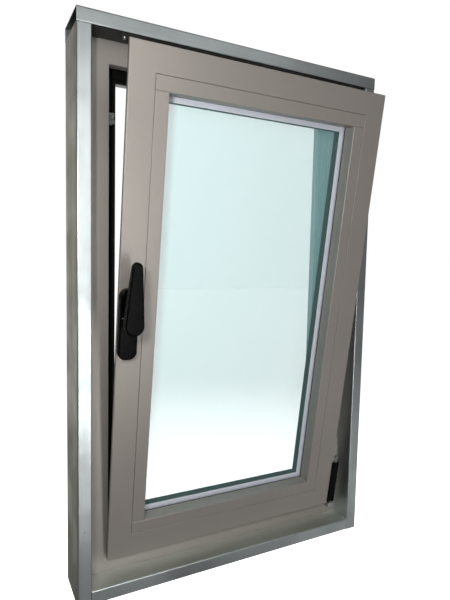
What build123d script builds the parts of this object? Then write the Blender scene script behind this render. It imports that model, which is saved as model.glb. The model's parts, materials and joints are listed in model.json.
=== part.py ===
"""Tilt-and-turn aluminium window in a box-section sub-frame, its sash tilted in at the top.

Millimetres. X runs across the window, Y from the room (-) to the outside (+), Z up.
The origin is the middle of the sub-frame sill's underside.
"""
from build123d import *
import os
from math import atan2, degrees

# Sub-frame: square-cut rectangular tube
SUB_WIDTH = 635.0
SUB_HEIGHT = 1020.0
TUBE_FACE = 25.0
TUBE_DEPTH = 100.0
TUBE_WALL = 1.6
TUBE_CORNER = 2.5

# Fixed frame: one hollow section, mitred at four corners
FRAME_DEPTH = 53.0
FRAME_FACE = 40.0
FRAME_FRONT_LEG = 18.0
FRAME_GROOVE_DEPTH = 8.0
FRAME_BACK_REACH = 59.5
FRAME_BACK_LEG = 16.0
FRAME_WALL = 1.8
FRAME_EDGE = 1.0
GROOVE_RIB = 1.5
GROOVE_RIB_HEIGHT = 2.5
KEEPER_SEAT = 9.0
CENTRE_GASKET_WIDTH = 27.0
CENTRE_GASKET_BASE = 2.0
CENTRE_GASKET_LIP = 6.0
CENTRE_GASKET_LIP_WIDTH = 9.0

# Sash: one hollow section, mitred, with a flange that laps over the frame
SASH_LAP = 5.5
SASH_FLANGE = 6.0
LAP_GASKET_WIDTH = 4.0
LAP_GASKET_HEIGHT = 2.0
SASH_DEPTH = 60.0
SASH_SIDE_CLEARANCE = 11.5
SASH_FIRST_STEP = 31.0
SASH_BACK_CLEARANCE = 6.0
SASH_BACK_CHAMBER = 12.5
SASH_OUTER_LEG = 6.0
SASH_WALL = 1.8
SASH_EDGE = 1.5
SASH_BEAD_EDGE = 0.7
ROD_GROOVE_MOUTH = 11.0
ROD_GROOVE_WIDTH = 15.0
ROD_GROOVE_LIP = 1.6
ROD_GROOVE_DEPTH = 8.0

# Glazing
BEAD_WIDTH = 24.5
BEAD_WALL = 1.5
BEAD_OUTER_EDGE = 0.7
BEAD_INNER_EDGE = 1.5
BEAD_JOINT = 0.5
GLASS_SETBACK = 28.0
PANE = 4.0
PANE_GAP = 16.0
GLASS_EDGE_CLEARANCE = 5.0
SPACER_INSET = 9.0
SPACER_HEIGHT = 13.0
GLAZING_GASKET = 2.0
GLAZING_GASKET_WIDTH = 5.0

# How the open sash stands
TILT = 8.1
SASH_FORWARD = 8.0
SASH_DROP = 3.0

# Handle
HANDLE_UP = 463.0
HANDLE_IN = 16.0
BASE_WIDTH = 32.0
BASE_LENGTH = 122.0
BASE_DROP = 6.5
BASE_CORNER = 13.0
BASE_THICKNESS = 14.0
BASE_EDGE = 3.0
NECK_DIAMETER = 20.0
NECK_GAP = 18.0
HUB_WIDTH = 32.0
HUB_THICKNESS = 16.0
LEVER_TIP_WIDTH = 17.0
LEVER_TIP_THICKNESS = 9.0
LEVER_LENGTH = 120.5
LEVER_EDGE = 3.0

# Lower hinge, at the sash's right foot
HINGE_COVER_UP = 4.5
HINGE_COVER_HEIGHT = 100.0
HINGE_COVER_WIDTH = 16.0
HINGE_COVER_DEPTH = 11.0
HINGE_COVER_LAP = 2.5
HINGE_COVER_PROUD = 3.0
HINGE_COVER_EDGE = 1.5
HINGE_PLATE = 3.0
HINGE_PLATE_HEIGHT = 66.0
HINGE_LUG_HEIGHT = 10.0
HINGE_LUG_REACH = 19.5
HINGE_PIN = 8.0
HINGE_PIN_SHOWN = 3.0
HINGE_KNUCKLE = 10.0
HINGE_KNUCKLE_HEIGHT = 15.0
HINGE_KNUCKLE_GROOVE = 1.0
HINGE_KNUCKLE_GROOVE_UP = 6.0
HINGE_KNUCKLE_GROOVE_HEIGHT = 2.0
HINGE_STRAP_LENGTH = 62.0
HINGE_STRAP_TIP = 3.0
HINGE_STRAP_THICKNESS = 3.0

# Stay between the frame and the sash's top
STAY_ARM_WIDTH = 14.0
STAY_ARM_THICKNESS = 3.0
STAY_PIN = 7.4
STAY_PIN_PLAY = 0.3
STAY_BEARING_WIDTH = 15.0
STAY_BEARING_HEIGHT = 12.0
STAY_SLIDER_AT = 60.0
STAY_PLATE_LENGTH = 120.0
STAY_PLATE_WIDTH = 16.0
STAY_PLATE_THICKNESS = 3.0
STAY_HEIGHT = 2.0

# Locks
KEEPER_DOWN = 128.0
KEEPER_LENGTH = 20.0
KEEPER_BASE = 5.0
KEEPER_HOOK = 4.0
KEEPER_CLEARANCE = 1.0
DRIVE_LENGTH = 116.0
DRIVE_CLEARANCE = 0.3
DRIVE_REACH = 11.0

# Worked out from the above
FRAME_WIDTH = SUB_WIDTH - 2 * TUBE_FACE
FRAME_HEIGHT = SUB_HEIGHT - 2 * TUBE_FACE
FRAME_FRONT = TUBE_DEPTH / 2 - FRAME_DEPTH
SASH_MARGIN = FRAME_FACE - SASH_LAP
SASH_WIDTH = FRAME_WIDTH - 2 * SASH_MARGIN
SASH_HEIGHT = FRAME_HEIGHT - 2 * SASH_MARGIN
SASH_BODY = SASH_LAP + SASH_SIDE_CLEARANCE
SASH_BACK_BODY = SASH_LAP + FRAME_BACK_REACH - FRAME_FACE + SASH_BACK_CLEARANCE
SASH_STILE = SASH_BACK_BODY + SASH_BACK_CHAMBER
FRAME_GROOVE = FRAME_FACE - FRAME_GROOVE_DEPTH
ROD_GROOVE_MIDDLE = (SASH_FLANGE + SASH_FIRST_STEP) / 2
SIGHT_LINE = SASH_STILE + BEAD_WIDTH
SASH_PROUD = SASH_FLANGE + LAP_GASKET_HEIGHT


def ring_sides(width, height):
    """The four sides of an upright rectangle about the origin, each with its start, run and inward way."""
    left, right, low, high = -width / 2, width / 2, 0, height
    return {
        "left": (Vector(left, 0, low), Vector(0, 0, 1), Vector(1, 0, 0), height),
        "top": (Vector(left, 0, high), Vector(1, 0, 0), Vector(0, 0, -1), width),
        "right": (Vector(right, 0, high), Vector(0, 0, -1), Vector(-1, 0, 0), height),
        "bottom": (Vector(right, 0, low), Vector(-1, 0, 0), Vector(0, 0, 1), width),
    }


def mitred(section, width, height):
    """Four mitred lengths of a section drawn with X inward from the ring's edge and Y to the back."""
    lengths = {}
    for side, (start, run, inward, length) in ring_sides(width, height).items():
        bar = extrude(Plane(start, x_dir=inward, z_dir=run) * section, length)
        bar = split(bar, bisect_by=Plane(start, z_dir=run - inward), keep=Keep.TOP)
        bar = split(bar, bisect_by=Plane(start + run * length, z_dir=-run - inward), keep=Keep.TOP)
        lengths[side] = bar
    return lengths


def ring(inner_edge, band, front, thickness, width, height):
    """A flat rectangular ring whose outer edge lies inner_edge - band in from width by height."""
    outer = inner_edge - band
    middle = Location((0, front, height / 2))
    solid = Box(width - 2 * outer, thickness, height - 2 * outer, align=(Align.CENTER, Align.MIN, Align.CENTER))
    hole = Box(width - 2 * inner_edge, thickness, height - 2 * inner_edge,
               align=(Align.CENTER, Align.MIN, Align.CENTER))
    return middle * (solid - hole)


def outline(points):
    return make_face(Polyline(*points, close=True))


def tube(length):
    """Rectangular tube along Z from the origin, its face TUBE_FACE wide on X."""
    outer = fillet(Rectangle(TUBE_FACE, TUBE_DEPTH).vertices(), TUBE_CORNER)
    bore = Rectangle(TUBE_FACE - 2 * TUBE_WALL, TUBE_DEPTH - 2 * TUBE_WALL)
    return extrude(outer - bore, length)


def sub_frame():
    """Head over the two posts, sill between them."""
    inset = SUB_WIDTH / 2 - TUBE_FACE / 2
    post = tube(SUB_HEIGHT - TUBE_FACE)
    head = Location((-SUB_WIDTH / 2, 0, SUB_HEIGHT - TUBE_FACE / 2), (0, 90, 0)) * tube(SUB_WIDTH)
    sill = Location((-FRAME_WIDTH / 2, 0, TUBE_FACE / 2), (0, 90, 0)) * tube(FRAME_WIDTH)
    return {
        "subframe_head": head,
        "subframe_sill": sill,
        "subframe_jamb_left": Pos(-inset, 0, 0) * post,
        "subframe_jamb_right": Pos(inset, 0, 0) * post,
    }


def rounded(face, corners):
    """Round the corners of a section that lie on the given points, each with its own radius."""
    for point, radius in corners:
        nearest = face.vertices().sort_by_distance(point)[0]
        face = fillet(nearest, radius)
    return face


def frame_section():
    """X inward from the frame's outer side, Y back from its front face."""
    back, wall = FRAME_DEPTH, FRAME_WALL
    back_leg = back - FRAME_BACK_LEG
    seat = (FRAME_FRONT_LEG + back_leg - CENTRE_GASKET_LIP - KEEPER_SEAT) / 2
    rib_top = FRAME_GROOVE + GROOVE_RIB_HEIGHT
    ribs = []
    for edge in (seat - GROOVE_RIB, seat + KEEPER_SEAT):
        ribs += [(FRAME_GROOVE, edge), (rib_top, edge), (rib_top, edge + GROOVE_RIB),
                 (FRAME_GROOVE, edge + GROOVE_RIB)]
    skin = outline([
        (0, 0), (FRAME_FACE, 0), (FRAME_FACE, FRAME_FRONT_LEG), (FRAME_GROOVE, FRAME_FRONT_LEG), *ribs,
        (FRAME_GROOVE, back_leg), (FRAME_BACK_REACH, back_leg), (FRAME_BACK_REACH, back), (0, back),
    ])
    skin = rounded(skin, [((FRAME_FACE, 0), FRAME_EDGE), ((FRAME_BACK_REACH, back), FRAME_EDGE),
                          ((FRAME_BACK_REACH, back_leg), FRAME_EDGE)])
    room = outline([
        (wall, wall), (FRAME_FACE - wall, wall), (FRAME_FACE - wall, FRAME_FRONT_LEG - wall),
        (FRAME_GROOVE - wall, FRAME_FRONT_LEG - wall), (FRAME_GROOVE - wall, back_leg + wall),
        (FRAME_BACK_REACH - wall, back_leg + wall), (FRAME_BACK_REACH - wall, back - wall), (wall, back - wall),
    ])
    return Pos(0, FRAME_FRONT) * (skin - room)


def centre_gasket_section():
    """Wide rubber along the back leg, with its sealing lip at the leg's edge."""
    face = FRAME_DEPTH - FRAME_BACK_LEG
    tip, start = FRAME_BACK_REACH, FRAME_BACK_REACH - CENTRE_GASKET_WIDTH
    lip = tip - CENTRE_GASKET_LIP_WIDTH
    return Pos(0, FRAME_FRONT) * outline([
        (start, face), (start, face - CENTRE_GASKET_BASE), (lip, face - CENTRE_GASKET_BASE),
        (tip - CENTRE_GASKET_BASE, face - CENTRE_GASKET_LIP), (tip, face - CENTRE_GASKET_LIP), (tip, face),
    ])


def fixed_frame():
    up = Pos(0, 0, TUBE_FACE)
    bars = mitred(frame_section(), FRAME_WIDTH, FRAME_HEIGHT)
    names = {"top": "frame_head", "bottom": "frame_sill", "left": "frame_jamb_left", "right": "frame_jamb_right"}
    pieces = {names[side]: up * bar for side, bar in bars.items()}
    rubber = mitred(centre_gasket_section(), FRAME_WIDTH, FRAME_HEIGHT)
    pieces["frame_centre_gasket"] = up * (rubber["left"] + rubber["top"] + rubber["right"] + rubber["bottom"])
    return pieces


def sash_section():
    """X inward from the flange's edge, Y back from the sash's front face."""
    back, wall, step = SASH_DEPTH, SASH_WALL, SASH_FIRST_STEP
    mouth = (ROD_GROOVE_MIDDLE - ROD_GROOVE_MOUTH / 2, ROD_GROOVE_MIDDLE + ROD_GROOVE_MOUTH / 2)
    pocket = (ROD_GROOVE_MIDDLE - ROD_GROOVE_WIDTH / 2, ROD_GROOVE_MIDDLE + ROD_GROOVE_WIDTH / 2)
    lip, floor = SASH_BODY + ROD_GROOVE_LIP, SASH_BODY + ROD_GROOVE_DEPTH
    skin = outline([
        (0, 0), (SASH_STILE, 0), (SASH_STILE, back - SASH_OUTER_LEG), (SIGHT_LINE, back - SASH_OUTER_LEG),
        (SIGHT_LINE, back), (SASH_BACK_BODY, back), (SASH_BACK_BODY, step), (SASH_BODY, step),
        (SASH_BODY, mouth[1]), (lip, mouth[1]), (lip, pocket[1]), (floor, pocket[1]),
        (floor, pocket[0]), (lip, pocket[0]), (lip, mouth[0]), (SASH_BODY, mouth[0]),
        (SASH_BODY, SASH_FLANGE), (0, SASH_FLANGE),
    ])
    skin = rounded(skin, [((0, 0), SASH_EDGE), ((SASH_STILE, 0), SASH_BEAD_EDGE),
                          ((SIGHT_LINE, back), SASH_EDGE), ((SASH_BACK_BODY, back), SASH_EDGE)])
    front_room = outline([
        (floor + wall, wall), (SASH_STILE - wall, wall), (SASH_STILE - wall, step - wall),
        (floor + wall, step - wall),
    ])
    back_room = outline([
        (SASH_BACK_BODY + wall, step), (SASH_STILE - wall, step),
        (SASH_STILE - wall, back - SASH_OUTER_LEG + wall), (SIGHT_LINE - wall, back - SASH_OUTER_LEG + wall),
        (SIGHT_LINE - wall, back - wall), (SASH_BACK_BODY + wall, back - wall),
    ])
    return skin - front_room - back_room


def sash_frame():
    bars = mitred(sash_section(), SASH_WIDTH, SASH_HEIGHT)
    names = {"top": "sash_top_rail", "bottom": "sash_bottom_rail", "left": "sash_lock_stile",
             "right": "sash_hinge_stile"}
    pieces = {names[side]: bar for side, bar in bars.items()}
    pieces["sash_overlap_gasket"] = ring(LAP_GASKET_WIDTH, LAP_GASKET_WIDTH, SASH_FLANGE, LAP_GASKET_HEIGHT,
                                         SASH_WIDTH, SASH_HEIGHT)
    return pieces


def bead_section():
    """X inward from the sash's stile, Y back from the sash's front face."""
    width, depth, wall = BEAD_WIDTH - BEAD_JOINT, GLASS_SETBACK - GLAZING_GASKET, BEAD_WALL
    skin = Rectangle(width, depth, align=Align.MIN)
    skin = rounded(skin, [((0, 0), BEAD_OUTER_EDGE), ((width, 0), BEAD_INNER_EDGE)])
    room = Pos(wall, wall) * Rectangle(width - 2 * wall, depth - 2 * wall, align=Align.MIN)
    return skin - room


def beads():
    """Square-cut beads: top and bottom run through, the upright ones stand between them."""
    clear_width = SASH_WIDTH - 2 * (SASH_STILE + BEAD_JOINT)
    clear_height = SASH_HEIGHT - 2 * (SASH_STILE + BEAD_JOINT)
    pieces = {}
    for side, (start, run, inward, length) in ring_sides(clear_width, clear_height).items():
        upright = side in ("left", "right")
        cut = BEAD_WIDTH - BEAD_JOINT + BEAD_JOINT / 2 if upright else 0
        bar = extrude(Plane(start + run * cut, x_dir=inward, z_dir=run) * bead_section(), length - 2 * cut)
        pieces["bead_" + side] = Pos(0, 0, SASH_STILE + BEAD_JOINT) * bar
    return pieces


def glazing():
    glass_edge = SASH_STILE + GLASS_EDGE_CLEARANCE
    width, height = SASH_WIDTH - 2 * glass_edge, SASH_HEIGHT - 2 * glass_edge
    pane = Pos(0, 0, SASH_HEIGHT / 2) * Box(width, PANE, height, align=(Align.CENTER, Align.MIN, Align.CENTER))
    second = GLASS_SETBACK + PANE + PANE_GAP
    edge = SIGHT_LINE
    return {
        "glass_inner_pane": Pos(0, GLASS_SETBACK, 0) * pane,
        "glass_outer_pane": Pos(0, second, 0) * pane,
        "glass_spacer": ring(edge + SPACER_INSET, SPACER_HEIGHT, GLASS_SETBACK + PANE, PANE_GAP,
                             SASH_WIDTH, SASH_HEIGHT),
        "glazing_gasket_inner": ring(edge, GLAZING_GASKET_WIDTH, GLASS_SETBACK - GLAZING_GASKET, GLAZING_GASKET,
                                     SASH_WIDTH, SASH_HEIGHT),
        "glazing_gasket_outer": ring(edge, GLAZING_GASKET_WIDTH, second + PANE, GLAZING_GASKET,
                                     SASH_WIDTH, SASH_HEIGHT),
    }


def handle_base():
    face = Pos(0, -BASE_DROP) * RectangleRounded(BASE_WIDTH, BASE_LENGTH, BASE_CORNER)
    plate = extrude(Plane.XZ * face, BASE_THICKNESS)
    return fillet(plate.edges().group_by(Axis.Y)[0], BASE_EDGE)


def handle_lever():
    """Round neck, hub and a blade that narrows and thins towards its tip, pointing up."""
    back = BASE_THICKNESS + NECK_GAP
    neck = extrude(Plane.XZ.offset(BASE_THICKNESS) * Circle(NECK_DIAMETER / 2), NECK_GAP)
    tip_up = LEVER_LENGTH - HUB_WIDTH / 2
    front = make_hull([
        Circle(HUB_WIDTH / 2).edge(),
        (Pos(0, tip_up - LEVER_TIP_WIDTH / 2) * Circle(LEVER_TIP_WIDTH / 2)).edge(),
    ])
    front = extrude(Plane.XZ.offset(back) * front, HUB_THICKNESS)
    low, hub = -HUB_WIDTH / 2, HUB_WIDTH / 2
    side = outline([
        (-back, low), (-back, hub), (-back - HUB_THICKNESS + LEVER_TIP_THICKNESS, tip_up),
        (-back - HUB_THICKNESS, tip_up), (-back - HUB_THICKNESS, low),
    ])
    side = extrude(Plane.YZ * side, HUB_WIDTH / 2, both=True)
    blade = front & side
    blade = fillet(blade.edges().group_by(Axis.Y)[0], LEVER_EDGE)
    return blade + neck


def handle():
    """Base and lever, drawn on the sash's front face about the spindle."""
    spindle = Location((-SASH_WIDTH / 2 + HANDLE_IN, 0, HANDLE_UP))
    return {"handle_base": spindle * handle_base(), "handle_lever": spindle * handle_lever()}


def lower_hinge_cover():
    """Cap on the sash's right edge that laps onto its face."""
    side = Box(HINGE_COVER_WIDTH, HINGE_COVER_DEPTH, HINGE_COVER_HEIGHT, align=Align.MIN)
    lap = Box(HINGE_COVER_LAP, HINGE_COVER_PROUD, HINGE_COVER_HEIGHT, align=(Align.MAX, Align.MIN, Align.MIN))
    cover = side + lap
    cover = fillet(cover.edges().filter_by(Axis.Z).group_by(Axis.Y)[0], HINGE_COVER_EDGE)
    return Pos(SASH_WIDTH / 2, -HINGE_COVER_PROUD, HINGE_COVER_UP) * cover


def lower_hinge_strap():
    """Knuckle on top of the cover, with a strap that narrows up the flange's edge."""
    middle = Vector(HINGE_COVER_WIDTH / 2, HINGE_COVER_DEPTH / 2 - HINGE_COVER_PROUD)
    stand = (Align.CENTER, Align.CENTER, Align.MIN)
    groove_radius = HINGE_KNUCKLE / 2 - HINGE_KNUCKLE_GROOVE
    knuckle = Cylinder(HINGE_KNUCKLE / 2, HINGE_KNUCKLE_HEIGHT, align=stand)
    groove = Cylinder(HINGE_KNUCKLE / 2, HINGE_KNUCKLE_GROOVE_HEIGHT, align=stand)
    groove -= Cylinder(groove_radius, HINGE_KNUCKLE_GROOVE_HEIGHT, align=stand)
    knuckle -= Pos(0, 0, HINGE_KNUCKLE_GROOVE_UP) * groove
    strap = outline([
        (0, 0), (middle.X, 0), (middle.X + groove_radius, HINGE_KNUCKLE_HEIGHT),
        (HINGE_STRAP_TIP, HINGE_STRAP_LENGTH), (0, HINGE_STRAP_LENGTH),
    ])
    strap = Pos(0, middle.Y, 0) * extrude(Plane.XZ * strap, HINGE_STRAP_THICKNESS / 2, both=True)
    return Pos(SASH_WIDTH / 2, 0, HINGE_COVER_UP + HINGE_COVER_HEIGHT) * (strap + Pos(*middle) * knuckle)


def stay_plate():
    top_of_body = SASH_HEIGHT - SASH_BODY
    return Pos(STAY_SLIDER_AT, ROD_GROOVE_MIDDLE, top_of_body) * Box(
        STAY_PLATE_LENGTH, STAY_PLATE_WIDTH, STAY_PLATE_THICKNESS, align=(Align.CENTER, Align.CENTER, Align.MIN))


def lock_drive():
    """Block in the lock stile's rod groove, level with the handle."""
    floor = -SASH_WIDTH / 2 + SASH_BODY + ROD_GROOVE_DEPTH - DRIVE_CLEARANCE
    size = (ROD_GROOVE_DEPTH - DRIVE_CLEARANCE + DRIVE_REACH, ROD_GROOVE_MOUTH - 2 * DRIVE_CLEARANCE, DRIVE_LENGTH)
    return Pos(floor, ROD_GROOVE_MIDDLE, HANDLE_UP) * Box(*size, align=(Align.MAX, Align.CENTER, Align.CENTER))


def sash():
    pieces = {**sash_frame(), **beads(), **glazing(), **handle(), "lower_hinge_cover": lower_hinge_cover(),
              "lower_hinge_strap": lower_hinge_strap(), "stay_sash_plate": stay_plate(),
              "lock_drive_block": lock_drive()}
    return {name: tilted(solid) for name, solid in pieces.items()}


def tilted(solid):
    """Turn a piece of the sash in at the top and set it on the frame's lower hinge."""
    foot = Location((0, FRAME_FRONT - SASH_PROUD - SASH_FORWARD, TUBE_FACE + SASH_MARGIN - SASH_DROP))
    return foot * Rot(X=TILT) * solid


def lower_hinge(cover):
    """Bearing on the frame's face and the pin that the sash's cover stands on."""
    middle = SASH_WIDTH / 2 + HINGE_COVER_WIDTH / 2
    low = cover.bounding_box().min.Z - HINGE_PIN_SHOWN
    corner = (Align.CENTER, Align.MAX, Align.MIN)
    plate = Box(HINGE_COVER_WIDTH, HINGE_PLATE, HINGE_PLATE_HEIGHT, align=corner)
    lug = Box(HINGE_COVER_WIDTH, HINGE_LUG_REACH, HINGE_LUG_HEIGHT, align=corner)
    bearing = Pos(middle, FRAME_FRONT, low - HINGE_LUG_HEIGHT) * (plate + lug)
    pin_y = FRAME_FRONT - SASH_PROUD - SASH_FORWARD - HINGE_COVER_PROUD + HINGE_COVER_DEPTH / 2
    stand = (Align.CENTER, Align.CENTER, Align.MIN)
    pin = Pos(middle, pin_y, low) * Cylinder(HINGE_PIN / 2, 2 * HINGE_PIN_SHOWN, align=stand)
    return {"lower_hinge_bearing": bearing, "lower_hinge_pin": pin - cover}


def stay(plate):
    """Arm that holds the sash's top: a pin on the frame, a slider on the sash."""
    stand = (Align.CENTER, Align.CENTER, Align.MIN)
    upper = plate.bounding_box().max.Z + STAY_HEIGHT
    bearing_x = FRAME_WIDTH / 2 - FRAME_FACE - STAY_BEARING_WIDTH / 2
    bearing_y = FRAME_FRONT + FRAME_FRONT_LEG / 2
    slider_y = plate.center().Y
    run = Vector(STAY_SLIDER_AT - bearing_x, slider_y - bearing_y)
    eye = Cylinder(STAY_ARM_WIDTH / 2, STAY_ARM_THICKNESS, align=stand)
    hole = Cylinder(STAY_PIN / 2 + STAY_PIN_PLAY, STAY_ARM_THICKNESS, align=stand)
    bar = Box(run.length, STAY_ARM_WIDTH, STAY_ARM_THICKNESS, align=(Align.MIN, Align.CENTER, Align.MIN))
    arm = bar + eye + Pos(run.length, 0, 0) * eye - hole - Pos(run.length, 0, 0) * hole
    arm = Location((bearing_x, bearing_y, upper), (0, 0, degrees(atan2(run.Y, run.X)))) * arm
    pin = Cylinder(STAY_PIN / 2, STAY_ARM_THICKNESS + STAY_PIN_PLAY, align=stand)
    block = Box(STAY_BEARING_WIDTH, FRAME_FRONT_LEG, STAY_BEARING_HEIGHT, align=(Align.CENTER, Align.CENTER, Align.MAX))
    bearing = Pos(bearing_x, bearing_y, upper) * (block + pin)
    foot = Cylinder(STAY_ARM_WIDTH / 2, STAY_HEIGHT + STAY_PLATE_THICKNESS, align=(Align.CENTER, Align.CENTER, Align.MAX))
    slider = Pos(STAY_SLIDER_AT, slider_y, upper) * (foot + pin) - plate
    return {"stay_arm": arm, "stay_frame_bearing": bearing, "stay_slider": slider}


def lock_keeper():
    """Keeper between the ribs of the left jamb's hardware groove, its hook towards the room."""
    seat_front = FRAME_FRONT + (FRAME_FRONT_LEG + FRAME_DEPTH - FRAME_BACK_LEG - CENTRE_GASKET_LIP - KEEPER_SEAT) / 2
    reach = FRAME_GROOVE_DEPTH + SASH_SIDE_CLEARANCE - KEEPER_CLEARANCE
    stand = (Align.MIN, Align.MIN, Align.CENTER)
    foot = Box(KEEPER_BASE, KEEPER_SEAT, KEEPER_LENGTH, align=stand)
    hook = Box(reach, KEEPER_HOOK, KEEPER_LENGTH, align=stand)
    at = (-FRAME_WIDTH / 2 + FRAME_GROOVE, seat_front, SUB_HEIGHT - TUBE_FACE - KEEPER_DOWN)
    return Pos(*at) * (foot + hook)


def main():
    os.makedirs("parts", exist_ok=True)
    pieces = {**sub_frame(), **fixed_frame(), **sash(), "lock_keeper": lock_keeper()}
    pieces |= lower_hinge(pieces["lower_hinge_cover"])
    pieces |= stay(pieces["stay_sash_plate"])
    for name, solid in pieces.items():
        export_step(solid, f"parts/{name}.step")


if __name__ == "__main__":
    main()
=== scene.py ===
"""Looks of the tilt-and-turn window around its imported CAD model: finishes, screws, handle and studio.

Metres, in the frame of the CAD model: X across, Y from the room (-) to the outside (+), Z up.
"""
import json
import math

import bmesh
import bpy
from mathutils import Matrix, Vector


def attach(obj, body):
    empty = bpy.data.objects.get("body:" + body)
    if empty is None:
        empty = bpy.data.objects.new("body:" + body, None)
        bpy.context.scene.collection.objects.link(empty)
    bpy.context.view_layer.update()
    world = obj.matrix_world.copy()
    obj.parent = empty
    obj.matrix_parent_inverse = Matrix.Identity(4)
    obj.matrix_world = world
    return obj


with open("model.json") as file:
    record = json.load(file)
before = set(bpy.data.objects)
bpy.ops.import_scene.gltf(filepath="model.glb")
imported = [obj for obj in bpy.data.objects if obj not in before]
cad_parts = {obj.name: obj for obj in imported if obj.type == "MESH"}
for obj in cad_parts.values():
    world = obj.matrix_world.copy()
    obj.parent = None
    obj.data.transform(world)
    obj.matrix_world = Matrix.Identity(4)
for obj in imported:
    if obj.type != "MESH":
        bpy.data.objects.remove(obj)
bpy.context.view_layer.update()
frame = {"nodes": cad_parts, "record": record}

bl_info = {
    "name": "Tilt-and-turn window",
    "version": (1, 0, 0),
    "blender": (4, 5, 0),
    "location": "3D View > Sidebar > Window",
    "description": "Dresses the CAD model of a tilted aluminium window",
    "category": "Object",
}

# The open sash is tilted in at the top, and this is the way its front faces
SASH_TILT = math.radians(8.1)
SASH_FRONT = Matrix.Rotation(SASH_TILT, 3, "X") @ Vector((0.0, -1.0, 0.0))

# Camera: the photograph's viewpoint, fitted to its edges. Focus and middle are in pixels
IMAGE_WIDTH, IMAGE_HEIGHT = 450, 600
CAMERA_PLACE = Vector((-0.4830, -0.9052, 0.6226))
CAMERA_FOCUS = 501.14
CAMERA_MIDDLE = (228.05, 299.95)
CAMERA_PAN, CAMERA_PITCH, CAMERA_ROLL = math.radians(-27.786), math.radians(-4.786), math.radians(-1.292)
CAMERA_TURN = (Matrix.Rotation(CAMERA_PAN, 3, "Z") @ Matrix.Rotation(CAMERA_PITCH, 3, "X")
               @ Matrix.Rotation(CAMERA_ROLL, 3, "Y"))
SENSOR_WIDTH = 36.0

# White lamps: name, place, what it looks at, width, height and power
LAMPS = (
    ("beside_camera", (-0.56, -0.70, 0.75), (-0.15, 0.0, 0.6), 0.08, 0.08, 3.4),
    ("behind_camera_high", (-0.3, -1.5, 1.1), (0.0, 0.0, 0.5), 0.7, 0.5, 4.0),
    ("above_right", (0.6, -1.8, 1.7), (0.0, -0.05, 1.0), 1.2, 0.5, 2.0),
    ("narrow_front", (0.05, -1.7, 0.1), (-0.3, -0.05, 0.4), 0.25, 1.1, 7.2),
    ("low_right", (1.1, -1.0, -0.5), (0.3, -0.05, 0.2), 0.5, 1.0, 0.9),
)

# Wide white light from the world: direction, start and end of its spread as cosines, and strength.
# It comes from the wall behind the window, and from the room's right and left
SKY = (
    ((0.45, 0.89, 0.0), 0.5, 0.85, 1.0),
    ((0.71, -0.71, 0.0), 0.72, 0.96, 0.12),
    ((-1.0, -0.15, 0.0), 0.45, 1.0, 0.22),
)

# Marks on the finishes, and painted highlights on the handle: place and radius
POST_SCUFFS = (
    ((-0.3055, -0.050, 0.1385), 0.0016),
    ((-0.3062, -0.050, 0.1372), 0.0016),
    ((-0.3068, -0.050, 0.1305), 0.0013),
    ((-0.3072, -0.050, 0.1190), 0.0013),
)
# Painted highlights: two small bright glints on the handle
HANDLE_GLINTS = (
    ((-0.2536, -0.0990, 0.5190), 0.0013),
    ((-0.2577, -0.1252, 0.5061), 0.0010),
)

# Screw heads by piece: place, way they face, size beside the usual one, height and turn of the cross
SCREWS = {
    "post_screws": (((-0.3171, -0.0440, 0.9715), (-1, 0, 0), 1.0, 0.0004, 0.3),
                    ((-0.3171, -0.0262, 0.9663), (-1, 0, 0), 1.0, 0.0004, 1.1)),
    "head_screw": (((-0.2335, -0.0300, 0.9950), (0, 0, -1), 1.0, 0.0040, 0.6),),
    "keeper_screw": (((-0.2535, 0.0170, 0.8670), (0, -1, 0), 0.875, 0.0009, 0.5),),
}
# A head's cross: length and width of an arm beside the diameter, and depth beside the height
CROSS_ARM, CROSS_SLOT, CROSS_DEPTH = 0.28, 0.075, 0.45
# A head's dome, from the cross outwards: radius beside its own, and drop beside its height
HEAD_RINGS = ((0.8, 0.12), (1.0, 0.42), (1.0, 1.0))

# The keeper's catch plates: two corners and the rounding
CATCH_PLATES = (
    ((-0.2520, 0.0155, 0.8725), (-0.2380, 0.0195, 0.8785), 0.0008),
    ((-0.2520, 0.0150, 0.8592), (-0.2375, 0.0195, 0.8672), 0.0010),
)
# The keeper's pin, thicker at both ends: its foot, and its outline as radius and height
PIN_FOOT = (-0.2402, 0.0172, 0.8664)
PIN_OUTLINE = ((0.0, 0.0), (0.0018, 0.0), (0.0018, 0.0008), (0.0012, 0.0012), (0.0012, 0.0058),
               (0.0018, 0.0062), (0.0018, 0.0070), (0.0, 0.0070))
PIN_STEPS = 24

# Colours that belong to a finish and need no choosing
DUST = (0.46, 0.44, 0.40, 1.0)
RUBBER, RUBBER_BLOOM = (0.005, 0.005, 0.004, 1.0), (0.016, 0.015, 0.013, 1.0)
BLACK, BLACK_RUBBED = (0.0012, 0.0013, 0.0013, 1.0), (0.0035, 0.0036, 0.0036, 1.0)
# Painted highlight: the colour of the handle's glints
PAINTED_GLINT = (0.75, 0.77, 0.78, 1.0)
ZINC, ZINC_SHADE = (0.52, 0.53, 0.53, 1.0), (0.33, 0.34, 0.32, 1.0)
CLEAN_ZINC, CLEAN_ZINC_SHADE = (0.86, 0.87, 0.86, 1.0), (0.66, 0.68, 0.66, 1.0)
FLOOR_PALE, FLOOR_SHADE = (0.84, 0.84, 0.84, 1.0), (0.81, 0.81, 0.81, 1.0)
WHITE = (1.0, 1.0, 1.0, 1.0)

# The floor: half its width, how far it lies under the sill, its glow, and a painted pool of light that glows
# brighter near the window
FLOOR_REACH, FLOOR_DROP = 8.0, 0.0005
POOL_MIDDLE, POOL_RADIUS = (0.1, 0.1, 0.0), 1.5
FLOOR_GLOW, POOL_GLOW = 0.92, 1.8

# Vertices closer than this are one, in a CAD node and in a piece
CAD_JOIN, PIECE_JOIN = 1e-5, 1e-6
# An edge sharper than this is rounded on a CAD node, and stays sharp in the shading of a piece
ROUNDED_ANGLE, SHARP_ANGLE = math.radians(40), math.radians(35)

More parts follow.
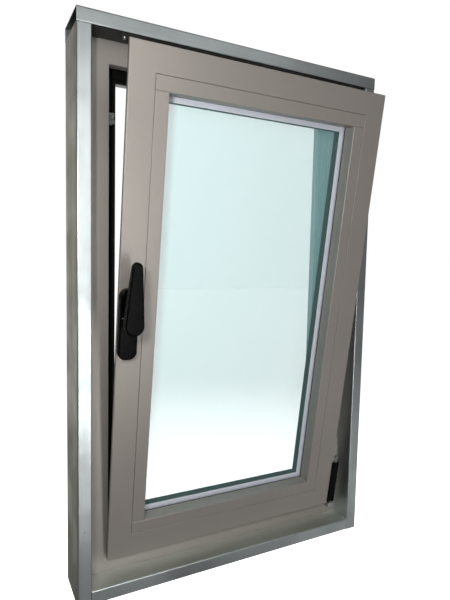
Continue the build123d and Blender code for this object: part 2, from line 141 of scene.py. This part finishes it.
# The finish of each slot. Bare aluminium and glass have two finishes each
FINISH_OF_SLOT = {
    "taupe_powder_coat": "taupe_coat",
    "black_rubber": "soft_rubber",
    "spacer_metal": "spacer_bar",
    "black_fittings": "satin_black",
    "zinc_steel": "mottled_zinc",
}


def nodes_named(*starts):
    """The CAD objects whose names begin with one of the given words."""
    return [thing for name, thing in sorted(frame["nodes"].items()) if name.startswith(starts)]


# Shader building

def shader_tree(name):
    """A new material with one Principled shader: the material, its tree and the shader."""
    material = bpy.data.materials.new(name)
    # The frame's plain materials have the slots' names, so no finish may take one of those
    if material.name != name:
        raise RuntimeError(f"another material already has the name {name}")
    material.use_nodes = True
    tree = material.node_tree
    tree.nodes.clear()
    shader = tree.nodes.new("ShaderNodeBsdfPrincipled")
    out = tree.nodes.new("ShaderNodeOutputMaterial")
    tree.links.new(shader.outputs["BSDF"], out.inputs["Surface"])
    return material, tree, shader


def plug(tree, socket, value):
    """Link a socket to another, or set it to a value."""
    if isinstance(value, bpy.types.NodeSocket):
        tree.links.new(value, socket)
    else:
        socket.default_value = value


def add_node(tree, kind, choices=(), **inputs):
    """Add a node. Choices are its own settings, and inputs are its sockets, with _ for a space."""
    made = tree.nodes.new(kind)
    for key, value in dict(choices).items():
        setattr(made, key, value)
    for key, value in inputs.items():
        plug(tree, made.inputs[key.replace("_", " ")], value)
    return made


def object_points(tree, scale=(1, 1, 1)):
    """Object coordinates, stretched."""
    points = add_node(tree, "ShaderNodeTexCoord").outputs["Object"]
    return add_node(tree, "ShaderNodeMapping", Vector=points, Scale=scale).outputs["Vector"]


def noise(tree, vector, scale=1.0, detail=3.0, roughness=0.5):
    """Soft noise about 0.5. Nearly all of it lies between 0.3 and 0.7."""
    made = add_node(tree, "ShaderNodeTexNoise", Vector=vector, Scale=scale, Detail=detail,
                    Roughness=roughness)
    return made.outputs["Fac"]


def remap(tree, value, low, high, start=0.0, end=1.0, smooth=False):
    """Value from start..end to low..high, held at both ends."""
    choices = {"interpolation_type": "SMOOTHSTEP"} if smooth else {}
    made = add_node(tree, "ShaderNodeMapRange", choices, Value=value, From_Min=start, From_Max=end,
                    To_Min=low, To_Max=high)
    return made.outputs["Result"]


def spread(tree, value, low, high):
    """The usual reach of a noise to low..high."""
    return remap(tree, value, low, high, 0.3, 0.7)


def calculate(tree, operation, first, second):
    """One step of arithmetic."""
    made = add_node(tree, "ShaderNodeMath", {"operation": operation})
    plug(tree, made.inputs[0], first)
    plug(tree, made.inputs[1], second)
    return made.outputs["Value"]


def blend(tree, factor, first, second):
    """Mix two colours."""
    made = add_node(tree, "ShaderNodeMix", {"data_type": "RGBA"})
    plug(tree, made.inputs[0], factor)
    plug(tree, made.inputs[6], first)
    plug(tree, made.inputs[7], second)
    return made.outputs[2]


def bump(tree, height, distance, strength):
    """A normal that follows a height."""
    made = add_node(tree, "ShaderNodeBump", Height=height, Distance=distance, Strength=strength)
    return made.outputs["Normal"]


def combine(tree, operation, first, second):
    """The number that two vectors give, such as their distance."""
    made = add_node(tree, "ShaderNodeVectorMath", {"operation": operation})
    plug(tree, made.inputs[0], first)
    plug(tree, made.inputs[1], tuple(second))
    return made.outputs["Value"]


def facing(tree, direction, start, end):
    """1 where the surface faces the direction, 0 where it doesn't."""
    normal = add_node(tree, "ShaderNodeNewGeometry").outputs["Normal"]
    cosine = combine(tree, "DOT_PRODUCT", normal, direction)
    return remap(tree, cosine, 0.0, 1.0, start, end, smooth=True)


def near(tree, place, radius):
    """1 at a point and 0 past the radius."""
    points = add_node(tree, "ShaderNodeTexCoord").outputs["Object"]
    return remap(tree, combine(tree, "DISTANCE", points, place), 1.0, 0.0, 0.0, radius, smooth=True)


def solid_colour(colour):
    """A colour with its alpha."""
    return (colour[0], colour[1], colour[2], 1.0)


def darker(colour, share):
    """A share of a colour."""
    return solid_colour([part * share for part in colour[:3]])


# Finishes

def mill_aluminium(name, settings, along, scuffs=()):
    """Bare drawn aluminium: lines along the tube and cloudy handling marks.

    The left upright's outer side has a painted olive reflection and shade; a tube across has a painted
    lighter top and a painted darker underside.
    """
    material, tree, shader = shader_tree(name)
    fine, long_way = 1.0 / settings.grain_width, 1.0 / settings.grain_length
    stretch = (long_way, fine, fine) if along == "X" else (fine, fine, long_way)
    grain = noise(tree, object_points(tree, stretch), detail=4.0, roughness=0.65)
    broad = noise(tree, object_points(tree, tuple(part * 0.16 for part in stretch)), detail=2.0)
    cloud = noise(tree, object_points(tree), scale=11.0, detail=5.0, roughness=0.6)
    bright = solid_colour(settings.aluminium_colour)
    streaks = blend(tree, remap(tree, grain, 0.0, 0.55, 0.35, 0.75), bright, darker(bright, 0.86))
    tint = blend(tree, remap(tree, cloud, 0.0, 0.5, 0.48, 0.72), streaks, darker(bright, 0.78))
    if along == "Z":
        # Painted reflection and shade: the left upright's outer side, facing -X, takes a streaky olive tone
        bands = noise(tree, object_points(tree, (9.0, 90.0, 1.1)), detail=3.0)
        painted_side = solid_colour(settings.painted_side_colour)
        side_reflection = blend(tree, remap(tree, bands, 0.0, 1.0, 0.35, 0.65), painted_side, darker(painted_side, 0.72))
        across = add_node(tree, "ShaderNodeSeparateXYZ", Vector=object_points(tree)).outputs["X"]
        outer_side = calculate(tree, "MULTIPLY", facing(tree, (-1, 0, 0), 0.6, 0.95),
                               remap(tree, across, 1.0, 0.0, -0.1, 0.1))
        tint = blend(tree, outer_side, tint, side_reflection)
    else:
        brightened = solid_colour(settings.painted_top_colour)
        # Painted shade: the underside of a tube across is darkened to 12 % of the aluminium colour
        tint = blend(tree, facing(tree, (0, 0, -1), 0.3, 0.9), tint, darker(bright, 0.12))
        # Painted light: the top of a tube across takes a paler colour
        tint = blend(tree, facing(tree, (0, 0, 1), 0.3, 0.9), tint, brightened)
    for place, radius in scuffs:
        tint = blend(tree, near(tree, place, radius), tint, darker(bright, 0.35))
    tree.links.new(tint, shader.inputs["Base Color"])
    shader.inputs["Metallic"].default_value = 1.0
    dull = calculate(tree, "ADD", spread(tree, grain, -0.05, 0.06),
                     remap(tree, cloud, 0.36, 0.50, 0.4, 0.7))
    tree.links.new(dull, shader.inputs["Roughness"])
    height = calculate(tree, "ADD", grain, calculate(tree, "MULTIPLY", broad, 1.6))
    tree.links.new(bump(tree, height, 0.00006, 0.6), shader.inputs["Normal"])
    return material


def powder_coat(name, settings):
    """Satin powder coat: faint orange peel, slow colour drift, and dust on faces that look up."""
    material, tree, shader = shader_tree(name)
    points = object_points(tree)
    peel = noise(tree, points, scale=1.0 / settings.peel_size, detail=2.0, roughness=0.55)
    specks = noise(tree, points, scale=2600.0, detail=1.0)
    drift = noise(tree, points, scale=5.0, detail=3.0)
    coat = solid_colour(settings.coat_colour)
    tint = blend(tree, remap(tree, drift, 0.0, 1.0, 0.35, 0.65), coat, darker(coat, 0.93))
    tint = blend(tree, remap(tree, specks, 0.0, 0.5, 0.55, 0.75), tint, darker(coat, 0.8))
    dust = calculate(tree, "MULTIPLY", facing(tree, (0, 0, 1), 0.5, 0.95),
                     remap(tree, noise(tree, points, scale=60.0, detail=5.0), 0.05, 0.55, 0.35, 0.7))
    tint = blend(tree, dust, tint, DUST)
    tree.links.new(tint, shader.inputs["Base Color"])
    dull = calculate(tree, "ADD", spread(tree, peel, -0.03, 0.05), calculate(tree, "MULTIPLY", dust, 0.25))
    tree.links.new(calculate(tree, "ADD", dull, settings.coat_roughness), shader.inputs["Roughness"])
    shader.inputs["Metallic"].default_value = 0.3
    tree.links.new(bump(tree, peel, 0.00005, 0.5), shader.inputs["Normal"])
    return material


def black_rubber(name):
    """Soft black rubber with a dusty bloom."""
    material, tree, shader = shader_tree(name)
    bloom = noise(tree, object_points(tree), scale=70.0, detail=5.0, roughness=0.65)
    fine = noise(tree, object_points(tree), scale=1800.0, detail=2.0)
    tint = blend(tree, remap(tree, bloom, 0.0, 0.6, 0.45, 0.8), RUBBER, RUBBER_BLOOM)
    tree.links.new(tint, shader.inputs["Base Color"])
    tree.links.new(spread(tree, bloom, 0.62, 0.82), shader.inputs["Roughness"])
    shader.inputs["Specular IOR Level"].default_value = 0.08
    tree.links.new(bump(tree, fine, 0.00008, 0.5), shader.inputs["Normal"])
    return material


def glass(name, tint, veil):
    """See-through float glass with a faint green cast, under an even veil of daylight."""
    material, tree, shader = shader_tree(name)
    wave = noise(tree, object_points(tree), scale=3.0, detail=1.0)
    cast = solid_colour(tint)
    tree.links.new(blend(tree, wave, cast, darker(cast, 0.97)), shader.inputs["Base Color"])
    shader.inputs["Roughness"].default_value = 0.03
    shader.inputs["IOR"].default_value = 1.5
    shader.inputs["Alpha"].default_value = veil
    return material


def spacer_metal(name, settings):
    """Folded spacer bar: a pale front, and a mottled inner side painted dark as shade."""
    material, tree, shader = shader_tree(name)
    front = facing(tree, SASH_FRONT, 0.4, 0.8)
    grain = noise(tree, object_points(tree), scale=260.0, detail=3.0)
    # Painted shade: the inner side between the panes is coloured dark
    side = solid_colour(settings.spacer_shaded_side_colour)
    inner = blend(tree, remap(tree, grain, 0.0, 0.6, 0.4, 0.7), side, darker(side, 0.8))
    tint = blend(tree, front, inner, solid_colour(settings.spacer_front_colour))
    tree.links.new(tint, shader.inputs["Base Color"])
    tree.links.new(spread(tree, grain, 0.7, 0.9), shader.inputs["Roughness"])
    shader.inputs["Specular IOR Level"].default_value = 0.1
    tree.links.new(bump(tree, grain, 0.0001, 0.4), shader.inputs["Normal"])
    return material


def black_fittings(name, glints):
    """Satin black fittings: close texture, slightly worn, with small painted highlights at given places."""
    material, tree, shader = shader_tree(name)
    points = object_points(tree)
    worn = noise(tree, points, scale=45.0, detail=4.0)
    close = noise(tree, points, scale=2200.0, detail=2.0)
    tint = blend(tree, remap(tree, worn, 0.0, 0.7, 0.45, 0.75), BLACK, BLACK_RUBBED)
    # Painted highlights: small bright glints at given places
    for place, radius in glints:
        tint = blend(tree, near(tree, place, radius), tint, PAINTED_GLINT)
    tree.links.new(tint, shader.inputs["Base Color"])
    tree.links.new(spread(tree, worn, 0.20, 0.34), shader.inputs["Roughness"])
    shader.inputs["Specular IOR Level"].default_value = 0.06
    tree.links.new(bump(tree, close, 0.00005, 0.35), shader.inputs["Normal"])
    return material


def zinc_steel(name):
    """Zinc-plated steel with a mottled passivated skin."""
    material, tree, shader = shader_tree(name)
    points = object_points(tree)
    mottle = noise(tree, points, scale=130.0, detail=5.0, roughness=0.65)
    spangle = noise(tree, points, scale=900.0, detail=2.0)
    tint = blend(tree, remap(tree, mottle, 0.0, 1.0, 0.35, 0.7), ZINC, ZINC_SHADE)
    tree.links.new(tint, shader.inputs["Base Color"])
    shader.inputs["Metallic"].default_value = 1.0
    tree.links.new(spread(tree, mottle, 0.28, 0.48), shader.inputs["Roughness"])
    tree.links.new(bump(tree, spangle, 0.00005, 0.4), shader.inputs["Normal"])
    return material


def bright_zinc(name):
    """Clean bright zinc of the screws and the keeper's pin, faintly brushed."""
    material, tree, shader = shader_tree(name)
    brushed = noise(tree, object_points(tree, (900.0, 900.0, 160.0)), detail=3.0)
    tree.links.new(blend(tree, brushed, CLEAN_ZINC, CLEAN_ZINC_SHADE), shader.inputs["Base Color"])
    shader.inputs["Metallic"].default_value = 1.0
    tree.links.new(spread(tree, brushed, 0.24, 0.38), shader.inputs["Roughness"])
    tree.links.new(bump(tree, brushed, 0.00003, 0.5), shader.inputs["Normal"])
    return material


def pale_floor(name):
    """Plain pale floor with the slightest unevenness and an even glow, and a painted pool of light near the
    window.
    """
    material, tree, shader = shader_tree(name)
    cloud = noise(tree, object_points(tree), scale=1.2, detail=4.0)
    tree.links.new(blend(tree, cloud, FLOOR_PALE, FLOOR_SHADE), shader.inputs["Base Color"])
    shader.inputs["Emission Color"].default_value = WHITE
    # Painted light: the floor glows brighter in a pool near the window
    glow = remap(tree, near(tree, POOL_MIDDLE, POOL_RADIUS), FLOOR_GLOW, POOL_GLOW)
    tree.links.new(glow, shader.inputs["Emission Strength"])
    shader.inputs["Roughness"].default_value = 0.9
    shader.inputs["Specular IOR Level"].default_value = 0.1
    return material


def paint(thing, finish):
    """Give a piece or CAD node one finish, which has to be made already."""
    made = bpy.data.materials.get(finish)
    if made is None:
        raise RuntimeError(f"the finish {finish} isn't made yet")
    thing.data.materials.clear()
    thing.data.materials.append(made)


# Pieces

def finished_piece(name, mesh, finish):
    """Close a bmesh into a smooth object at the origin that rides on the window."""
    bmesh.ops.remove_doubles(mesh, verts=mesh.verts, dist=PIECE_JOIN)
    bmesh.ops.recalc_face_normals(mesh, faces=mesh.faces)
    data = bpy.data.meshes.new(name)
    mesh.to_mesh(data)
    mesh.free()
    piece = bpy.data.objects.new(name, data)
    bpy.context.scene.collection.objects.link(piece)
    paint(piece, finish)
    for face in data.polygons:
        face.use_smooth = True
    data.set_sharp_from_angle(angle=SHARP_ANGLE)
    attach(piece, "root")


def weld(thing):
    """Join the loose triangles of a CAD node by a modifier."""
    joined = thing.modifiers.new("weld", "WELD")
    joined.merge_threshold = CAD_JOIN


def aim(direction, at):
    """A matrix that turns +Z to the direction and moves it to a point."""
    turn = Vector((0, 0, 1)).rotation_difference(Vector(direction)).to_matrix().to_4x4()
    return Matrix.Translation(at) @ turn


def aim_light(place, target):
    """A matrix that puts an area light at a place and turns its own -Z to the target."""
    way = Vector(place) - Vector(target)
    return Matrix.Translation(place) @ way.to_track_quat("Z", "Y").to_matrix().to_4x4()


def screw_head(mesh, diameter, height, place, turn):
    """Domed head with a cross recess, on +Z of the place."""
    radius, arm, slot = diameter / 2, diameter * CROSS_ARM, diameter * CROSS_SLOT
    before = set(mesh.verts)
    made = bmesh.ops.create_grid(mesh, x_segments=4, y_segments=4, size=1.0)["verts"]
    for vert in made:
        u, v = vert.co.x, vert.co.y
        stops = (-arm, -slot, 0.0, slot, arm)
        vert.co.x, vert.co.y = stops[round((u + 1) * 2)], stops[round((v + 1) * 2)]
    faces = [face for face in mesh.faces if set(face.verts) <= set(made)]
    cross = [face for face in faces
             if abs(face.calc_center_median().x) < slot or abs(face.calc_center_median().y) < slot]
    rim = bmesh.ops.extrude_face_region(mesh, geom=cross)
    floor = [item for item in rim["geom"] if isinstance(item, bmesh.types.BMVert)]
    bmesh.ops.translate(mesh, verts=floor, vec=(0, 0, -height * CROSS_DEPTH))
    bmesh.ops.delete(mesh, geom=cross, context="FACES_ONLY")
    new = [vert for vert in mesh.verts if vert not in before]
    edge = [e for e in mesh.edges if e.is_boundary and all(v in new for v in e.verts)]
    for share, drop in HEAD_RINGS:
        ring = bmesh.ops.extrude_edge_only(mesh, edges=edge)["geom"]
        verts = [item for item in ring if isinstance(item, bmesh.types.BMVert)]
        for vert in verts:
            way = Vector((vert.co.x, vert.co.y, 0))
            vert.co = way.normalized() * radius * share
            vert.co.z = -height * drop
        edge = [item for item in ring if isinstance(item, bmesh.types.BMEdge)
                and all(v in set(verts) for v in item.verts)]
    bmesh.ops.holes_fill(mesh, edges=edge)
    new = [vert for vert in mesh.verts if vert not in before]
    raise_up = Matrix.Translation((0, 0, height)) @ Matrix.Rotation(turn, 4, "Z")
    bmesh.ops.transform(mesh, matrix=place @ raise_up, verts=new)


def plate(mesh, low, high, round_off):
    """Small plate between two corners, with rounded edges."""
    made = bmesh.ops.create_cube(mesh, size=1.0)["verts"]
    low, high = Vector(low), Vector(high)
    bmesh.ops.scale(mesh, vec=high - low, verts=made)
    bmesh.ops.translate(mesh, vec=(low + high) / 2, verts=made)
    edges = list({edge for vert in made for edge in vert.link_edges})
    bmesh.ops.bevel(mesh, geom=edges, offset=round_off, segments=3, profile=0.5, affect="EDGES", material=-1)


def turned(mesh, outline, place):
    """Turn an outline of radius and height about +Z of the place, in a mesh of its own."""
    verts = [mesh.verts.new((radius, 0.0, height)) for radius, height in outline]
    edges = [mesh.edges.new(pair) for pair in zip(verts, verts[1:])]
    bmesh.ops.spin(mesh, geom=verts + edges, cent=(0, 0, 0), axis=(0, 0, 1), angle=math.tau,
                   steps=PIN_STEPS, use_merge=True)
    bmesh.ops.transform(mesh, matrix=place, verts=mesh.verts)


class WindowSettings(bpy.types.PropertyGroup):
    """Sizes and colours of the window's finishes and small pieces."""

    aluminium_colour: bpy.props.FloatVectorProperty(
        name="Aluminium", description="Colour of the bare sub-frame tubes", subtype="COLOR",
        min=0.0, max=1.0, default=(0.570, 0.615, 0.615))
    # Painted reflection and shade: the olive colour painted on the left post's outer side
    painted_side_colour: bpy.props.FloatVectorProperty(
        name="Painted side", description="Colour of the posts' dull outer sides", subtype="COLOR",
        min=0.0, max=1.0, default=(0.50, 0.50, 0.39))
    # Painted light: the paler colour of the sill tube's upper side
    painted_top_colour: bpy.props.FloatVectorProperty(
        name="Brightened top", description="Colour of the sill tube's rubbed upper side", subtype="COLOR",
        min=0.0, max=1.0, default=(0.86, 0.93, 0.88))
    grain_width: bpy.props.FloatProperty(
        name="Grain width", description="Width of the drawn lines on the tubes", unit="LENGTH",
        default=0.0011)
    grain_length: bpy.props.FloatProperty(
        name="Grain length", description="Length of the drawn lines on the tubes", unit="LENGTH",
        default=0.16)
    coat_colour: bpy.props.FloatVectorProperty(
        name="Powder coat", description="Colour of the frame, the sash and the beads", subtype="COLOR",
        min=0.0, max=1.0, default=(0.374, 0.341, 0.309))
    coat_roughness: bpy.props.FloatProperty(
        name="Coat roughness", description="How dull the powder coat is", subtype="FACTOR",
        min=0.0, max=1.0, default=0.42)
    peel_size: bpy.props.FloatProperty(
        name="Coat texture", description="Size of the powder coat's orange peel", unit="LENGTH",
        default=0.0009)
    glass_tint: bpy.props.FloatVectorProperty(
        name="Glass", description="Tint of each pane", subtype="COLOR",
        min=0.0, max=1.0, default=(0.58, 0.98, 0.98))
    inner_veil: bpy.props.FloatProperty(
        name="Inner veil", description="How much daylight veils the inner pane", subtype="FACTOR",
        min=0.0, max=1.0, default=0.06)
    outer_veil: bpy.props.FloatProperty(
        name="Outer veil", description="How much daylight veils the outer pane", subtype="FACTOR",
        min=0.0, max=1.0, default=0.25)
    spacer_front_colour: bpy.props.FloatVectorProperty(
        name="Glass edge", description="Pale seal in front of the spacer bar", subtype="COLOR",
        min=0.0, max=1.0, default=(0.80, 0.76, 0.84))
    # Painted shade: the dark colour of the spacer bar's inner side
    spacer_shaded_side_colour: bpy.props.FloatVectorProperty(
        name="Spacer side", description="Side of the spacer bar between the panes", subtype="COLOR",
        min=0.0, max=1.0, default=(0.022, 0.036, 0.033))
    edge_round: bpy.props.FloatProperty(
        name="Edge", description="Rounding of the profiles' sharp edges", unit="LENGTH",
        default=0.00035)
    glazing_play: bpy.props.FloatProperty(
        name="Play", description="Gap between the panes and what touches them", unit="LENGTH",
        default=0.0001)
    screw_size: bpy.props.FloatProperty(
        name="Screw heads", description="Usual diameter of the screws' heads", unit="LENGTH",
        default=0.006)


class WINDOW_OT_finishes(bpy.types.Operator):
    """Make every finish and put it on the CAD model's nodes"""

    bl_idname = "window.finishes"
    bl_label = "Finishes"

    def execute(self, context):
        settings = context.scene.window_settings
        mill_aluminium("mill_aluminium_upright", settings, "Z", POST_SCUFFS)
        mill_aluminium("mill_aluminium_across", settings, "X")
        powder_coat("taupe_coat", settings)
        black_rubber("soft_rubber")
        glass("inner_glass", settings.glass_tint, settings.inner_veil)
        glass("outer_glass", settings.glass_tint, settings.outer_veil)
        spacer_metal("spacer_bar", settings)
        black_fittings("satin_black", HANDLE_GLINTS)
        zinc_steel("mottled_zinc")
        bright_zinc("bright_zinc")
        for part in frame["record"]["subparts"]:
            node, slot = part["node"], part["material_slot"]
            if slot == "mill_aluminium":
                finish = "mill_aluminium_upright" if "jamb" in node else "mill_aluminium_across"
            elif slot == "clear_glass":
                finish = "inner_glass" if "inner" in node else "outer_glass"
            else:
                finish = FINISH_OF_SLOT[slot]
            paint(frame["nodes"][node], finish)
        return {"FINISHED"}


class WINDOW_OT_edges(bpy.types.Operator):
    """Round the profiles' sharp edges a little, so that joints and corners catch the light"""

    bl_idname = "window.edges"
    bl_label = "Edges"

    def execute(self, context):
        settings = context.scene.window_settings
        profiles = nodes_named("subframe_", "frame_head", "frame_sill", "frame_jamb", "sash_top",
                               "sash_bottom", "sash_lock", "sash_hinge", "bead_", "handle_",
                               "lower_hinge", "stay_", "lock_")
        for profile in profiles:
            weld(profile)
            rounding = profile.modifiers.new("rounding", "BEVEL")
            rounding.width = settings.edge_round
            rounding.segments = 2
            rounding.limit_method = "ANGLE"
            rounding.angle_limit = ROUNDED_ANGLE
            rounding.use_clamp_overlap = True
            flats = profile.modifiers.new("flat faces", "WEIGHTED_NORMAL")
            flats.weight = 100
            flats.keep_sharp = False
        return {"FINISHED"}


class WINDOW_OT_glazing(bpy.types.Operator):
    """Draw the spacer and gaskets back a hair from the panes, so that no two faces lie in one plane"""

    bl_idname = "window.glazing"
    bl_label = "Glazing"

    def execute(self, context):
        hair = context.scene.window_settings.glazing_play
        for thing in nodes_named("glass_spacer", "glazing_gasket", "frame_centre_gasket",
                                 "sash_overlap_gasket"):
            weld(thing)
            back = thing.modifiers.new("play", "DISPLACE")
            back.mid_level = 0.0
            back.strength = -hair
        return {"FINISHED"}


class WINDOW_OT_screws(bpy.types.Operator):
    """Add the small screw heads of the sub-frame and the keeper"""

    bl_idname = "window.screws"
    bl_label = "Screws"

    def execute(self, context):
        size = context.scene.window_settings.screw_size
        for name, heads in SCREWS.items():
            mesh = bmesh.new()
            for at, way, share, height, turn in heads:
                screw_head(mesh, size * share, height, aim(way, at), turn)
            finished_piece(name, mesh, "bright_zinc")
        return {"FINISHED"}


class WINDOW_OT_keeper(bpy.types.Operator):
    """Add the catch plates and the pin in front of the keeper"""

    bl_idname = "window.keeper"
    bl_label = "Keeper"

    def execute(self, context):
        mesh = bmesh.new()
        for low, high, round_off in CATCH_PLATES:
            plate(mesh, low, high, round_off)
        finished_piece("keeper_catch_plates", mesh, "mottled_zinc")
        mesh = bmesh.new()
        turned(mesh, PIN_OUTLINE, Matrix.Translation(PIN_FOOT))
        finished_piece("keeper_pin", mesh, "bright_zinc")
        return {"FINISHED"}


class WINDOW_OT_stage(bpy.types.Operator):
    """Set the pale floor, the soft studio light and the camera"""

    bl_idname = "window.stage"
    bl_label = "Studio"

    def execute(self, context):
        scene = context.scene
        self.floor(scene)
        self.sky(scene)
        self.lamps(scene)
        self.camera(scene)
        return {"FINISHED"}

    @staticmethod
    def floor(scene):
        """A pale floor that the camera sees and that lights nothing."""
        pale_floor("pale_floor")
        mesh = bmesh.new()
        bmesh.ops.create_grid(mesh, x_segments=1, y_segments=1, size=FLOOR_REACH)
        data = bpy.data.meshes.new("studio_floor")
        mesh.to_mesh(data)
        mesh.free()
        floor = bpy.data.objects.new("studio_floor", data)
        floor.location.z = -FLOOR_DROP
        scene.collection.objects.link(floor)
        paint(floor, "pale_floor")
        floor.visible_glossy = False
        floor.visible_diffuse = False
        floor.visible_shadow = False

    @staticmethod
    def lamps(scene):
        """Soft area lamps that don't show themselves."""
        for name, place, target, wide, high, power in LAMPS:
            lamp = bpy.data.lights.new(name, "AREA")
            lamp.shape = "RECTANGLE"
            lamp.size, lamp.size_y, lamp.energy = wide, high, power
            holder = bpy.data.objects.new(name, lamp)
            holder.matrix_world = aim_light(place, target)
            holder.visible_camera = False
            scene.collection.objects.link(holder)

    @staticmethod
    def sky(scene):
        """White to the camera, and wide soft lights to all else."""
        world = bpy.data.worlds.new("studio")
        world.use_nodes = True
        scene.world = world
        tree = world.node_tree
        backdrop = tree.nodes["Background"]
        ways = add_node(tree, "ShaderNodeTexCoord").outputs["Generated"]
        light = 0.0
        for direction, start, end, strength in SKY:
            cosine = combine(tree, "DOT_PRODUCT", ways, Vector(direction).normalized())
            light = calculate(tree, "ADD", light, remap(tree, cosine, 0.0, strength, start, end, smooth=True))
        seen = add_node(tree, "ShaderNodeLightPath").outputs["Is Camera Ray"]
        plug(tree, backdrop.inputs["Color"], blend(tree, seen, light, WHITE))
        plug(tree, backdrop.inputs["Strength"], 1.0)
        scene.view_settings.view_transform = "Standard"

    @staticmethod
    def camera(scene):
        """The photograph's viewpoint."""
        eye = bpy.data.cameras.new("camera")
        eye.sensor_fit = "AUTO"
        eye.sensor_width = SENSOR_WIDTH
        eye.lens = CAMERA_FOCUS / IMAGE_HEIGHT * SENSOR_WIDTH
        eye.shift_x = (IMAGE_WIDTH / 2 - CAMERA_MIDDLE[0]) / IMAGE_HEIGHT
        eye.shift_y = (CAMERA_MIDDLE[1] - IMAGE_HEIGHT / 2) / IMAGE_HEIGHT
        eye.clip_start = 0.02
        holder = bpy.data.objects.new("camera", eye)
        across, forward, up = CAMERA_TURN.col
        turn = Matrix((across, up, -forward)).transposed().to_4x4()
        holder.matrix_world = Matrix.Translation(CAMERA_PLACE) @ turn
        scene.collection.objects.link(holder)
        scene.camera = holder


class WINDOW_PT_pieces(bpy.types.Panel):
    """Lists what dresses the window"""

    bl_idname = "WINDOW_PT_pieces"
    bl_label = "Tilt-and-turn window"
    bl_space_type = "VIEW_3D"
    bl_region_type = "UI"
    bl_category = "Window"

    def draw(self, context):
        for prop in WindowSettings.__annotations__:
            self.layout.prop(context.scene.window_settings, prop)
        for step in STEPS:
            self.layout.operator(step.bl_idname)


STEPS = (
    WINDOW_OT_finishes, WINDOW_OT_edges, WINDOW_OT_glazing, WINDOW_OT_screws, WINDOW_OT_keeper,
    WINDOW_OT_stage,
)
CLASSES = (WindowSettings, *STEPS, WINDOW_PT_pieces)


def register():
    for cls in CLASSES:
        bpy.utils.register_class(cls)
    bpy.types.Scene.window_settings = bpy.props.PointerProperty(type=WindowSettings)


def unregister():
    del bpy.types.Scene.window_settings
    for cls in reversed(CLASSES):
        bpy.utils.unregister_class(cls)


def main():
    register()
    bpy.ops.window.finishes()
    bpy.ops.window.edges()
    bpy.ops.window.glazing()
    bpy.ops.window.screws()
    bpy.ops.window.keeper()
    bpy.ops.window.stage()


if __name__ == "__main__":
    main()
